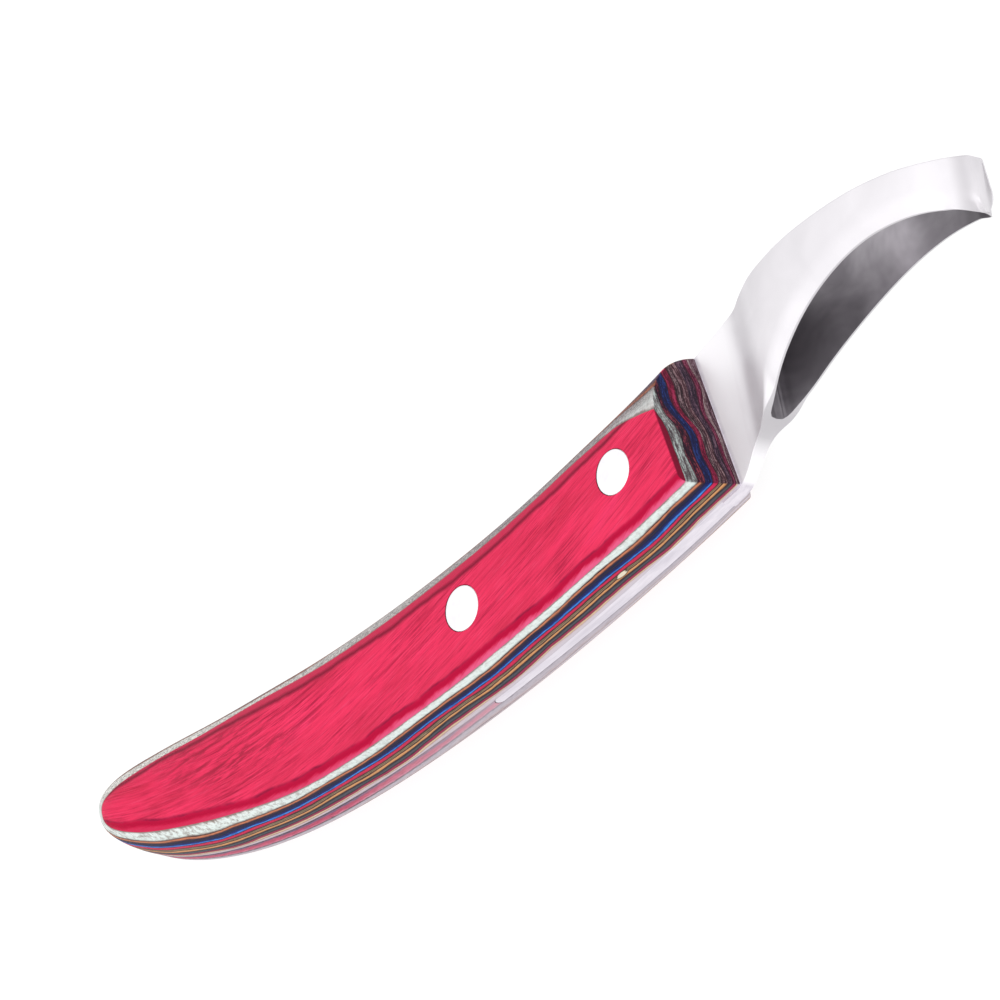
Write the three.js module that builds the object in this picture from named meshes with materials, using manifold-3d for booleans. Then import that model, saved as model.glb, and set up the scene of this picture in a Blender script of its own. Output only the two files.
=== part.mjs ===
// Loop hoof knife: a forged blade with a closed oval loop, and a laminated wood handle held on
// the blade's tang by two cutler's rivets. Millimetres, +Z up, lying on the handle's flat far face.
// +X runs along the knife to the loop's tip, and Z runs across the plies.
// While it is built, x = 0, y = 0 is the axis of the rear rivet; the last lines move the origin
// to the middle of the bounding box's base.
import * as THREE from 'three';
import { mergeVertices } from 'three/addons/utils/BufferGeometryUtils.js';
import Module from 'manifold-3d';

const wasm = await Module();
wasm.setup();

// ---- Driving dimensions -------------------------------------------------------------------

// Veneers from the tang outwards: name, thickness, colour. The near side has all of them and the
// far side only the first few, each side closed by a crimson face ply.
const VENEERS = [
  ['mauve', 0.9, 0x9a8088],
  ['cream', 0.35, 0xd9c7a4],
  ['magenta', 0.6, 0xa8285c],
  ['navy', 0.9, 0x2a2f4c],
  ['orange', 0.7, 0xc9824a],
  ['olive', 0.7, 0x77704f],
  ['crimson', 0.75, 0xb81f48],
  ['blue', 1.05, 0x1f3f86],
  ['orange_brown', 1.1, 0xb8683c],
  ['white', 1.75, 0xe4ebe4],
];
const FACE_PLY = ['crimson_face', 1, 0xd8204e];
const FAR_VENEERS = 8;
const TANG_THICKNESS = 2.5;

const SIDES = {
  near: { plies: [...VENEERS, FACE_PLY], direction: 1 },
  far: { plies: [...VENEERS.slice(0, FAR_VENEERS), FACE_PLY], direction: -1 },
};
for (const side of Object.values(SIDES)) {
  side.depth = exact(side.plies.reduce((sum, ply) => sum + ply[1], 0));
}
const HANDLE_THICKNESS = SIDES.far.depth + TANG_THICKNESS + SIDES.near.depth;
const TANG_Z0 = SIDES.far.depth;
const TANG_Z1 = TANG_Z0 + TANG_THICKNESS;
const MID_Z = (TANG_Z0 + TANG_Z1) / 2;

// Handle outline in plan: a curved spine with a half height either side of it.
const BELLY_X = -27;              // where the spine turns
const SPINE_RADIUS_FRONT = 310;
const SPINE_RADIUS_REAR = 185;
const HALF_HEIGHT = 10.2;
const FRONT_FLARE = 1.15;         // extra half height at the front end
const REAR_X = -81.2;
const TAPER_X = -38;              // the round rear end starts here
// Exponents of the superellipses that close the rear end, below and above the spine.
const REAR_ROUNDNESS = { lower: 2.4, upper: 2.65 };

// Front end face: it leans in plan, and slopes back from the tang towards both outer faces.
const FRONT_X = 47.45;
const FRONT_LEAN = 0.155;
const FRONT_SLOPE = { near: 0.224, far: 0.85 };

// Rounding of the handle's edges: how far the outline has moved in at the outer face.
const UPPER_INSET = { near: 8.3, far: 5.6 }; // the upper edges are quarter ellipses
const UPPER_EXTRA_FRONT = 3.2;    // the near one is wider at the front
const UPPER_EXTRA_REAR = 0.7;     // and a little wider at the rear
const UPPER_FLAT = 0.35;          // a flat stretch of the upper outline, at the start of the rear end
const REAR_INSET = { near: 8.4, far: 4 };
const NEAR_LOWER_INSET = 1.4;     // a small round at the lower near edge
const NEAR_LOWER_DEPTH = 1.8;
const NEAR_LOWER_REAR = 4.2;      // the lower near edge gets rounder towards the rear
const FAR_LOWER_START = 0.5;      // the palm side starts this far beyond the tang,
const FAR_LOWER_TILT = [28, 46];  // turning from the first to the second angle off vertical
const FAR_LOWER_REAR = 0.65;      // and is this much less deep at the rear

// Tang and blade.
const TANG_REAR_X = -6.4;
const TANG_CORNER = 1.6;
const SLOT_GAP = 0.3;
// The blade in plan, from the front end face to the tip.
const BLADE_LOWER = [
  [47.8, -2.4], [52, 1.7], [58, 5.4], [64.5, 9.9], [75, 14.7], [86, 16.75], [97.8, 15],
  [102.6, 12.9], [103.1, 15],
];
const BLADE_UPPER = [
  [44.4, 19.5], [53, 22], [64.2, 23.75], [76, 24.45], [91, 23.8], [98.3, 22.4], [102.4, 22], [103, 19.5],
];
// The loop seen along Y: half heights of its outer and inner faces, from the neck to the tip.
const LOOP_OUTER = [
  [51, 1.25], [53.4, 1.6], [56.4, 3.05], [60, 4.65], [66, 6.1], [78, 7.1], [88, 6.7], [97.8, 4.7],
  [102.6, 1.9],
];
const LOOP_INNER = [
  [55.7, 0.6], [56.6, 1.75], [60.6, 3.3], [66.7, 4.75], [78, 5.85], [88.4, 5.4], [97.8, 3.45],
  [100.9, 2.1], [101.9, 1],
];
const TIP_X = 103.1;
const PAST_TIP_X = 130;
const TIP_HALF_WIDTH = 1.3;
// The loop's lower edge is ground from outside, down to a thin rim along the inner face.
const BEVEL_X = [55.5, 60];       // where the bevel starts and where it has its full width
const BEVEL_WIDTH = 2.4;
const RIM = 0.35;
const BEVEL_STEP = 2.4;

// Rivets.
const RIVET_CENTRES = [[0, 0], [33.4, 4.8]];
const HEAD_RADIUS = 3.3;
const TUBE_RADIUS = 2.2;
const PIN_RADIUS = 1.4;
const FIT_GAP = 0.05;             // all round a rivet in its hole, and a pin in its tube
const TUBE_END_Z = 4;
const PIN_END_Z = 13;
const BORE_END_Z = 14;

// Fineness of the facets.
const EDGE_STEPS = 16;
const END_STEPS = 11;
const CURVE_STEPS = 3;            // per stretch between two points of the blade's curves
const ROUND_SEGMENTS = 16;
const FACE_LEVELS = [0, 0.6, 0.85, 0.96, 1]; // levels up through a face ply, where it rounds over

const { smoothstep } = THREE.MathUtils;
const [X_AXIS, Y_AXIS, Z_AXIS] = [[1, 0, 0], [0, 1, 0], [0, 0, 1]].map((a) => new THREE.Vector3(...a));

// ---- Helpers ------------------------------------------------------------------------------

function solidOf(geometry) {
  const bare = geometry.clone();
  bare.deleteAttribute('normal');
  bare.deleteAttribute('uv');
  const merged = mergeVertices(bare, 1e-5);
  return new wasm.Manifold(new wasm.Mesh({
    numProp: 3,
    vertProperties: new Float32Array(merged.attributes.position.array),
    triVerts: new Uint32Array(merged.index.array),
  }));
}

function geometryOf(solid) {
  const { vertProperties, triVerts } = solid.getMesh();
  const geometry = new THREE.BufferGeometry();
  geometry.setAttribute('position', new THREE.BufferAttribute(vertProperties, 3));
  geometry.setIndex(new THREE.BufferAttribute(triVerts, 1));
  geometry.computeVertexNormals();
  return geometry;
}

function named(name, geometry, color, roughness, metalness) {
  const mesh = new THREE.Mesh(geometry, new THREE.MeshStandardMaterial({ color, roughness, metalness }));
  mesh.name = name;
  return mesh;
}

// Heights added up ply by ply, cleared of rounding errors so that neighbours share one plane.
function exact(height) {
  return Math.round(height * 1e6) / 1e6;
}

// A closed solid through rings of equally many points, lowest ring first, each ring
// anticlockwise seen from +Z.
function loft(rings) {
  const count = rings[0].length;
  const positions = rings.flat().flatMap((p) => [p.x, p.y, p.z]);
  const indices = [];
  for (let level = 0; level + 1 < rings.length; level++) {
    for (let i = 0; i < count; i++) {
      const a = level * count + i;
      const b = level * count + (i + 1) % count;
      indices.push(a, b, b + count, a, b + count, a + count);
    }
  }
  const top = (rings.length - 1) * count;
  const cap = (ring) => THREE.ShapeUtils.triangulateShape(ring.map((p) => new THREE.Vector2(p.x, p.y)), []);
  for (const [a, b, c] of cap(rings[0])) {
    indices.push(a, c, b);
  }
  for (const [a, b, c] of cap(rings.at(-1))) {
    indices.push(top + a, top + b, top + c);
  }
  const geometry = new THREE.BufferGeometry();
  geometry.setAttribute('position', new THREE.Float32BufferAttribute(positions, 3));
  geometry.setIndex(indices);
  return geometry;
}

// An outline in x and y, extruded from z0 to z1.
function plate(points, z0, z1) {
  const options = { depth: z1 - z0, bevelEnabled: false };
  return new THREE.ExtrudeGeometry(new THREE.Shape(points), options).translate(0, 0, z0);
}

// A closed profile of [radius, z] points, turned about a vertical axis at (x, y).
function turned(profile, x, y) {
  const points = [...profile, profile[0]].map(([r, z]) => new THREE.Vector2(r, z));
  return new THREE.LatheGeometry(points, ROUND_SEGMENTS).rotateX(Math.PI / 2).translate(x, y, 0);
}

function smooth(points) {
  const curve = new THREE.SplineCurve(points.map(([x, y]) => new THREE.Vector2(x, y)));
  return curve.getPoints((points.length - 1) * CURVE_STEPS);
}

// ---- Handle shape -------------------------------------------------------------------------

function spineY(x) {
  const radius = x > BELLY_X ? SPINE_RADIUS_FRONT : SPINE_RADIUS_REAR;
  return (x - BELLY_X) ** 2 / (2 * radius);
}

function halfHeight(x) {
  return HALF_HEIGHT + (x > 0 ? FRONT_FLARE * (x / FRONT_X) ** 2 : 0);
}

function ellipseInset(amount, height, fullHeight) {
  return amount * (1 - Math.sqrt(1 - Math.min(height / fullHeight, 1) ** 2));
}

// The far lower edge falls away to the palm in one flat arc.
function farLowerInset(out) {
  const [start, end] = FAR_LOWER_TILT.map(THREE.MathUtils.degToRad);
  const radius = (SIDES.far.depth - FAR_LOWER_START) / (Math.sin(end) - Math.sin(start));
  const tilt = Math.asin(Math.sin(start) + Math.max(out - FAR_LOWER_START, 0) / radius);
  return radius * (Math.cos(start) - Math.cos(tilt));
}

// How far the outline has moved in at height z, at its upper edge and its lower edge near x.
function edgeInsets(x, z) {
  const out = Math.max(Math.abs(z - MID_Z) - TANG_THICKNESS / 2, 0);
  const flat = UPPER_FLAT * smoothstep(-x, 40, 58) * (1 - smoothstep(-x, 66, 80));
  if (z <= MID_Z) {
    const upper = ellipseInset(UPPER_INSET.far, out, SIDES.far.depth) + flat;
    const share = 1 - (1 - FAR_LOWER_REAR) * smoothstep(-x, 50, 78);
    return { upper, lower: farLowerInset(out) * share };
  }
  const depth = SIDES.near.depth;
  const extra = UPPER_EXTRA_FRONT * smoothstep(x, 22, 47) + UPPER_EXTRA_REAR * smoothstep(-x, 30, 60);
  const upper = ellipseInset(UPPER_INSET.near + extra, out, depth) + flat;
  const intoRound = Math.max(out - (depth - NEAR_LOWER_DEPTH), 0);
  const crisp = ellipseInset(NEAR_LOWER_INSET, intoRound, NEAR_LOWER_DEPTH);
  const soft = ellipseInset(NEAR_LOWER_REAR, out, depth) * smoothstep(-x, 30, 66);
  return { upper, lower: crisp + soft };
}

// The rearmost x of the handle at height z.
function rearXAt(z) {
  const out = Math.max(Math.abs(z - MID_Z) - TANG_THICKNESS / 2, 0);
  const side = z > MID_Z ? 'near' : 'far';
  return REAR_X + ellipseInset(REAR_INSET[side], out, SIDES[side].depth);
}

// A pair of points on the lower and the upper outline at height z. The last argument is how far
// into the round rear end they are, from 0 at its start to 1 at its very end.
function edgePair(x, z, along) {
  const { upper, lower } = edgeInsets(x, z);
  const centre = spineY(x) + (lower - upper) / 2;
  const half = halfHeight(x) - (lower + upper) / 2;
  const shrunk = (n) => half * Math.max(1 - along ** n, 0) ** (1 / n);
  return {
    lower: new THREE.Vector3(x, centre - shrunk(REAR_ROUNDNESS.lower), z),
    upper: new THREE.Vector3(x, centre + shrunk(REAR_ROUNDNESS.upper), z),
  };
}

// Pairs of points along the straight part of the handle, running past the front end face.
function straightPairs(z) {
  const steps = Array.from({ length: EDGE_STEPS + 1 }, (_, i) => i / EDGE_STEPS);
  return steps.map((step) => edgePair(THREE.MathUtils.lerp(TAPER_X, FRONT_X + 4, step), z, 0));
}

// Pairs of points round the rear end, from its rearmost point forwards.
function rearPairs(z) {
  const pairs = [];
  for (let i = END_STEPS; i > 0; i--) {
    const along = Math.sin((Math.PI / 2) * (i / END_STEPS)) ** (2 / REAR_ROUNDNESS.lower);
    pairs.push(edgePair(THREE.MathUtils.lerp(TAPER_X, rearXAt(z), along), z, along));
  }
  return pairs;
}

// The handle's outline at height z, anticlockwise from its rearmost point.
function handleRing(z) {
  const pairs = [...rearPairs(z), ...straightPairs(z)];
  const upper = pairs.slice(1).map((pair) => pair.upper);
  return [...pairs.map((pair) => pair.lower), ...upper.reverse()];
}

// Everything behind the front end, whose two faces meet in a ridge at the tang.
function behindFrontFace() {
  const ridge = (y, z) => {
    const slope = z > MID_Z ? FRONT_SLOPE.near : FRONT_SLOPE.far;
    return FRONT_X - FRONT_LEAN * y - slope * Math.abs(z - MID_Z);
  };
  const levels = [-1, MID_Z, HANDLE_THICKNESS + 1];
  return solidOf(loft(levels.map((z) => [
    new THREE.Vector3(-100, -40, z), new THREE.Vector3(ridge(-40, z), -40, z),
    new THREE.Vector3(ridge(40, z), 40, z), new THREE.Vector3(-100, 40, z),
  ])));
}
const BEHIND_FRONT = behindFrontFace();

// ---- Handle plies -------------------------------------------------------------------------

function rivetHoles(radius) {
  const profile = [[0, -1], [radius, -1], [radius, HANDLE_THICKNESS + 1], [0, HANDLE_THICKNESS + 1]];
  return RIVET_CENTRES.map(([x, y]) => solidOf(turned(profile, x, y)));
}

function cutHoles(solid, radius) {
  return rivetHoles(radius).reduce((rest, hole) => rest.subtract(hole), solid);
}

function makePly(side, [name, thickness, color], inner) {
  const isFace = name === FACE_PLY[0];
  const outer = inner + SIDES[side].direction * thickness;
  const parts = isFace ? FACE_LEVELS : [0, 1];
  const levels = parts.map((part) => exact(THREE.MathUtils.lerp(inner, outer, part))).sort((a, b) => a - b);
  const slice = solidOf(loft(levels.map(handleRing))).intersect(BEHIND_FRONT);
  const solid = cutHoles(slice, (isFace ? HEAD_RADIUS : TUBE_RADIUS) + FIT_GAP);
  return named(`${side}_${name}_ply`, geometryOf(solid), color, 0.35, 0);
}

function makePlies() {
  return Object.entries(SIDES).flatMap(([side, { plies, direction }]) => {
    let inner = direction > 0 ? TANG_Z1 : TANG_Z0;
    return plies.map((ply) => {
      const mesh = makePly(side, ply, inner);
      inner = exact(inner + direction * ply[1]);
      return mesh;
    });
  });
}

// ---- Tang, core ply and blade -------------------------------------------------------------

// What lies in front of the tang's rear end, whose two corners are rounded.
function aheadOfTangEnd(rearX) {
  const lowerY = spineY(rearX) - halfHeight(rearX);
  const upperY = spineY(rearX) + halfHeight(rearX);
  const shape = new THREE.Shape();
  shape.moveTo(PAST_TIP_X, -40);
  shape.lineTo(PAST_TIP_X, 40);
  shape.lineTo(rearX + TANG_CORNER, 40);
  shape.lineTo(rearX + TANG_CORNER, upperY);
  shape.quadraticCurveTo(rearX, upperY, rearX, upperY - 2 * TANG_CORNER);
  shape.lineTo(rearX, lowerY + 2 * TANG_CORNER);
  shape.quadraticCurveTo(rearX, lowerY, rearX + TANG_CORNER, lowerY);
  shape.lineTo(rearX + TANG_CORNER, -40);
  return shape.getPoints(4);
}

function makeCorePly() {
  const slice = solidOf(loft([TANG_Z0, TANG_Z1].map(handleRing))).intersect(BEHIND_FRONT);
  const room = solidOf(plate(aheadOfTangEnd(TANG_REAR_X - SLOT_GAP), TANG_Z0 - 1, TANG_Z1 + 1));
  return named('core_crimson_ply', geometryOf(slice.subtract(room)), 0xc02a55, 0.4, 0);
}

// Outline of tang, neck and loop in plan. Inside the handle the tang is flush with its edges.
function bladePlan() {
  const inHandle = ({ lower }) => lower.x > TANG_REAR_X - 12 && lower.x < FRONT_X - 4;
  const pairs = straightPairs(MID_Z).filter(inHandle);
  return [
    ...pairs.map((pair) => pair.lower), ...smooth(BLADE_LOWER),
    ...smooth(BLADE_UPPER).reverse(), ...pairs.reverse().map((pair) => pair.upper),
  ];
}

// Side view of the blade, turned from drawing x, y to x, z and made wide enough for every width.
function acrossBlade(points) {
  return plate(points, -40, 40).rotateX(Math.PI / 2).translate(0, 0, MID_Z);
}

// Height of a smooth line of points where it passes x, or of its last point beyond that.
function heightAt(line, x) {
  const inside = Math.min(x, line.at(-1).x);
  const i = Math.max(line.findIndex((p) => p.x >= inside), 1);
  const [a, b] = [line[i - 1], line[i]];
  return THREE.MathUtils.lerp(a.y, b.y, (inside - a.x) / (b.x - a.x));
}

// What the grinder takes off outside the lower edge of one band, from the neck to past the tip.
function bevelCutter(direction) {
  const [low, outer, inner] = [BLADE_LOWER, LOOP_OUTER, LOOP_INNER].map(smooth);
  const rings = [];
  for (let x = BEVEL_X[0]; x < TIP_X + 1; x += BEVEL_STEP) {
    const grown = smoothstep(x, ...BEVEL_X);
    const [y, z0, z1] = [low, inner, outer].map((line) => heightAt(line, x));
    const edge = THREE.MathUtils.lerp(z1 + 0.2, z0 + RIM, grown);
    const slope = Math.max(z1 - z0 - RIM, 0.3) / BEVEL_WIDTH;
    const ring = [[y - 1, edge - slope], [y + 9, edge + 9 * slope], [y - 1, edge + 9 * slope]];
    rings.push(ring.map(([py, pz]) => new THREE.Vector3(py, MID_Z + direction * pz, x)));
  }
  const turn = new THREE.Matrix4().makeBasis(Y_AXIS, Z_AXIS, X_AXIS);
  const ordered = direction > 0 ? rings : rings.map((ring) => ring.reverse());
  return solidOf(loft(ordered).applyMatrix4(turn));
}

function makeBlade() {
  const half = TANG_THICKNESS / 2;
  const above = [[-30, half], [20, half]].map(([x, y]) => new THREE.Vector2(x, y));
  above.push(...smooth(LOOP_OUTER), new THREE.Vector2(TIP_X, TIP_HALF_WIDTH));
  const below = above.map((p) => new THREE.Vector2(p.x, -p.y)).reverse();
  const gapAbove = smooth(LOOP_INNER);
  const gapBelow = gapAbove.map((p) => new THREE.Vector2(p.x, -p.y)).reverse();
  const side = solidOf(acrossBlade([...above, ...below]));
  const gap = solidOf(acrossBlade([...gapAbove, ...gapBelow]));
  const plan = solidOf(plate(bladePlan(), -40, 60));
  const tangEnd = solidOf(plate(aheadOfTangEnd(TANG_REAR_X), -40, 60));
  const ground = plan.intersect(side).subtract(bevelCutter(1)).subtract(bevelCutter(-1));
  const blade = ground.subtract(gap).intersect(tangEnd);
  return named('blade', geometryOf(cutHoles(blade, TUBE_RADIUS + FIT_GAP)), 0xc9c8cf, 0.18, 1);
}

// ---- Rivets -------------------------------------------------------------------------------

function makeRivets() {
  const headDepth = FACE_PLY[1];
  const top = HANDLE_THICKNESS;
  const boreRadius = PIN_RADIUS + FIT_GAP;
  const tube = [
    [0, BORE_END_Z], [boreRadius, BORE_END_Z], [boreRadius, TUBE_END_Z], [TUBE_RADIUS, TUBE_END_Z],
    [TUBE_RADIUS, top - headDepth], [HEAD_RADIUS, top - headDepth], [HEAD_RADIUS, top], [0, top],
  ];
  const pin = [
    [0, 0], [HEAD_RADIUS, 0], [HEAD_RADIUS, headDepth], [PIN_RADIUS, headDepth],
    [PIN_RADIUS, PIN_END_Z], [0, PIN_END_Z],
  ];
  return RIVET_CENTRES.flatMap(([x, y], i) => {
    const place = i === 0 ? 'rear' : 'front';
    return [
      named(`${place}_rivet_tube`, geometryOf(solidOf(turned(tube, x, y))), 0xe8e8ec, 0.25, 1),
      named(`${place}_rivet_pin`, geometryOf(solidOf(turned(pin, x, y))), 0xe8e8ec, 0.25, 1),
    ];
  });
}

// ---- Assembly -----------------------------------------------------------------------------

const knife = new THREE.Group();
knife.add(makeBlade(), makeCorePly(), ...makePlies(), ...makeRivets());
const box = new THREE.Box3().setFromObject(knife);
knife.position.set(-(box.min.x + box.max.x) / 2, -(box.min.y + box.max.y) / 2, 0);

export default knife;
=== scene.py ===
"""Looks of the loop hoof knife: laminated handle, forged loop blade, two cutler's rivets.

Shapes are worked out in millimetres in the part's drawing coordinates: +X along the knife to the
loop's tip, x = 0 and y = 0 on the rear rivet's axis, z = 0 on the handle's far face.
"""
import math

import bmesh
import bpy
import numpy as np
from mathutils import Matrix, Vector


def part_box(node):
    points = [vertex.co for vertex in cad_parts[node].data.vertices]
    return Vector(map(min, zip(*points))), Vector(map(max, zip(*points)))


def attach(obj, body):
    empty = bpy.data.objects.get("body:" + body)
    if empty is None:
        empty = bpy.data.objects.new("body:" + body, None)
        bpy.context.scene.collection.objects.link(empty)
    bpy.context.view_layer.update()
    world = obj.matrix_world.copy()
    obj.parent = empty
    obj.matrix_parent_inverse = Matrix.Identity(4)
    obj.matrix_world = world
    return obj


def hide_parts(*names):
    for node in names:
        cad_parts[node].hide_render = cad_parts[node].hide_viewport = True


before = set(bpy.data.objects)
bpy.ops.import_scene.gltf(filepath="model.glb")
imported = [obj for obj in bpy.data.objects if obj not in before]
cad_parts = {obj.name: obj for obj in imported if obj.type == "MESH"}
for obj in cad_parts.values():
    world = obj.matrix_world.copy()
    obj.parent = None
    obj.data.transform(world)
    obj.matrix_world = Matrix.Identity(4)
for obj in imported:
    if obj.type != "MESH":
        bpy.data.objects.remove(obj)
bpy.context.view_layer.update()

MM = 0.001
rivet_low, rivet_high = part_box("rear_rivet_tube")
ORIGIN = np.array([(rivet_low.x + rivet_high.x) / 2, (rivet_low.y + rivet_high.y) / 2, 0.0])

# ---- Driving dimensions, in millimetres -----------------------------------------------------

# Plies from the tang outwards: name, thickness.
VENEERS = [
    ("mauve", 0.9), ("cream", 0.35), ("magenta", 0.6), ("navy", 0.9), ("orange", 0.7),
    ("olive", 0.7), ("crimson", 0.75), ("blue", 1.05), ("orange_brown", 1.1), ("white", 1.75),
]
NEAR_FACE = ("crimson_face", 1.0)
FAR_FACE = ("crimson_face", 1.0)
FAR_VENEERS = 8
TANG_THICKNESS = 2.5
NEAR_DEPTH = sum(t for _, t in VENEERS) + NEAR_FACE[1]
FAR_DEPTH = sum(t for _, t in VENEERS[:FAR_VENEERS]) + FAR_FACE[1]
TANG_Z0 = FAR_DEPTH
TANG_Z1 = FAR_DEPTH + TANG_THICKNESS
MID_Z = (TANG_Z0 + TANG_Z1) / 2
TOP_Z = TANG_Z1 + NEAR_DEPTH

# Handle outline in plan.
BELLY_X = -27.0
SPINE_RADIUS_FRONT = 310.0
SPINE_RADIUS_REAR = 185.0
HALF_HEIGHT = 10.2
FRONT_FLARE = 1.15
REAR_X = -81.2
TAPER_X = -38.0
# Exponents of the superellipses that close the rear end, below and above the spine.
ROUNDNESS_LOWER = 2.4
ROUNDNESS_UPPER = 2.65

# Rounding of the handle's edges: how far the outline has moved in at the outer face.
UPPER_INSET_NEAR = 8.3
UPPER_INSET_FAR = 5.6
UPPER_EXTRA_FRONT = 3.2
UPPER_EXTRA_REAR = 0.7
UPPER_FLAT = 0.35
# Where along x, or along -x for those behind the rear rivet, an inset grows from none to all.
UPPER_EXTRA_FRONT_AT = (22, 47)
UPPER_EXTRA_REAR_AT = (30, 60)
UPPER_FLAT_AT = (40, 58)
UPPER_FLAT_ENDS = (66, 80)
LOWER_REAR_AT = (30, 66)
FAR_LOWER_REAR_AT = (50, 78)
REAR_INSET_NEAR = 8.4
REAR_INSET_FAR = 4.0
LOWER_INSET = 1.4
LOWER_DEPTH = 1.8
LOWER_REAR = 4.2
FAR_LOWER_START = 0.5
FAR_LOWER_TILT = (28, 46)
FAR_LOWER_REAR = 0.65

# Front end face.
FRONT_X = 47.45
FRONT_LEAN = 0.155
FRONT_SLOPE_NEAR = 0.224
FRONT_SLOPE_FAR = 0.85
FRONT_ROUND = 0.3

# Tang and blade.
TANG_REAR_X = -6.9
BLADE_LOWER = [(44.0, -3.4), (47.8, -2.4), (52, 1.7), (58, 5.4), (64.5, 9.9), (75, 14.7), (86, 16.75),
               (97.8, 15), (102.7, 12.9), (103.4, 12.6)]
BLADE_UPPER = [(42.0, 18.6), (44.4, 19.5), (53, 22), (64.2, 23.75), (76, 24.45), (91, 23.8), (98.3, 22.6),
               (102.4, 22.0), (103.4, 21.8)]
LOOP_OUTER = [(42, 1.25), (51, 1.25), (53.4, 1.6), (56.4, 3.05), (60, 4.65), (66, 6.1), (78, 7.1),
              (88, 6.7), (97.8, 4.55), (102.3, 2.0), (103.1, 1.45)]
LOOP_INNER = [(55.7, 0.0), (55.8, 0.75), (56.1, 1.3), (56.7, 1.75), (57.8, 2.2), (60.6, 3.3), (66.7, 4.75),
              (78, 5.85), (88.4, 5.4), (97.8, 3.4), (101.2, 1.9), (102.1, 0.0)]
BLADE_X = (43.5, 62.0, 102.9)
BEVEL_X = (55.5, 60.0)
BEVEL_WIDTH = (0.05, 2.4)
RIM = 0.35
EDGE_RADIUS = 0.12
BEVEL_RADIUS = 2.4
BACK_RADIUS = 0.3
OPENING_Y = (-20, 45)
# The last rings before the tip: how much they shrink and how far ahead they lie.
TIP_RINGS = ((0.12, 0.12), (0.3, 0.2))
# The tip's end is a shallow curve over its height, growing from NOSE_X on.
NOSE_X = 99.0
NOSE_LENGTH = 4.2
NOSE_MIDDLE_Y = 16.5
NOSE_CURVE = 0.02

# Rivets.
RIVETS = {"rear": (0.0, 0.0), "front": (33.4, 4.8)}
HEAD_RADIUS = 3.3
HEAD_THICKNESS = 1.0
SEAT_GAP = 0.09
TUBE_RADIUS = 2.2
PIN_RADIUS = 1.4
TUBE_END_Z = 4.0
PIN_END_Z = 13.0
HEAD_RELIEF = 0.1
PIN_GAP = 0.05
AROUND = 96

# ---- Helpers --------------------------------------------------------------------------------


def smoothstep(v, a, b):
    """0 up to a, 1 from b on, and a smooth rise between them."""
    t = np.clip((v - a) / (b - a), 0, 1)
    return t * t * (3 - 2 * t)


def curve(points):
    """A smooth line y(x) through a few points: cubic Hermite with Catmull-Rom slopes."""
    xs, ys = np.array(points, float).T
    slopes = np.gradient(ys, xs)

    def at(x):
        x = np.asarray(x, float)
        i = np.clip(np.searchsorted(xs, x) - 1, 0, len(xs) - 2)
        h = xs[i + 1] - xs[i]
        t = np.clip((x - xs[i]) / h, 0, 1)
        a = (2 * t**3 - 3 * t**2 + 1) * ys[i] + (t**3 - 2 * t**2 + t) * h * slopes[i]
        return a + (3 * t**2 - 2 * t**3) * ys[i + 1] + (t**3 - t**2) * h * slopes[i + 1]

    return at


def new_object(name, points_mm, faces, material, uvs=None):
    """A mesh object from drawing coordinates, riding on the knife, with a UV pair per vertex."""
    mesh = bpy.data.meshes.new(name)
    mesh.from_pydata((np.asarray(points_mm) * MM + ORIGIN).tolist(), [], faces)
    if uvs is not None:
        layer = mesh.uv_layers.new(name="Ply")
        index = np.zeros(len(mesh.loops), int)
        mesh.loops.foreach_get("vertex_index", index)
        layer.data.foreach_set("uv", np.asarray(uvs, np.float32)[index].ravel())
    mesh.materials.append(material)
    mesh.update()
    obj = bpy.data.objects.new(name, mesh)
    bpy.context.scene.collection.objects.link(obj)
    return obj


def tidy_mesh(obj, merge=0.002, angle=35):
    """Merges doubled points, makes the faces' directions agree and smooths all but the sharp edges."""
    bm = bmesh.new()
    bm.from_mesh(obj.data)
    bmesh.ops.remove_doubles(bm, verts=bm.verts, dist=merge * MM)
    bmesh.ops.dissolve_degenerate(bm, dist=merge * MM * 0.5, edges=bm.edges)
    bmesh.ops.recalc_face_normals(bm, faces=bm.faces)
    for face in bm.faces:
        face.smooth = True
    for edge in bm.edges:
        edge.smooth = edge.calc_face_angle(0) < math.radians(angle)
    bm.to_mesh(obj.data)
    bm.free()
    return obj


def finish_piece(obj, slot, *nodes):
    """Hangs a piece on the root body and hides the CAD nodes that it stands for."""
    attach(obj, "root")
    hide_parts(*nodes)


def boolean(obj, cutter, operation):
    """Cuts an object in place with another one, which is used up."""
    modifier = obj.modifiers.new("cut", "BOOLEAN")
    modifier.operation = operation
    modifier.solver = "EXACT"
    modifier.object = cutter
    mesh = bpy.data.meshes.new_from_object(obj.evaluated_get(bpy.context.evaluated_depsgraph_get()))
    obj.modifiers.clear()
    old = obj.data
    obj.data = mesh
    bpy.data.meshes.remove(old)
    bpy.data.objects.remove(cutter)
    return obj


# ---- Handle surface -------------------------------------------------------------------------


def spine_y(x):
    """The handle's middle line in plan: one bend before the belly and a tighter one behind it."""
    return (x - BELLY_X) ** 2 / (2 * np.where(x > BELLY_X, SPINE_RADIUS_FRONT, SPINE_RADIUS_REAR))


def half_height(x):
    return HALF_HEIGHT + np.where(x > 0, FRONT_FLARE * (x / FRONT_X) ** 2, 0)


def quarter_ellipse(amount, height, full):
    """The inset of a rounded edge: none at height 0, the whole amount at the full height."""
    return amount * (1 - np.sqrt(1 - np.clip(height / full, 0, 1) ** 2))


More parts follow.
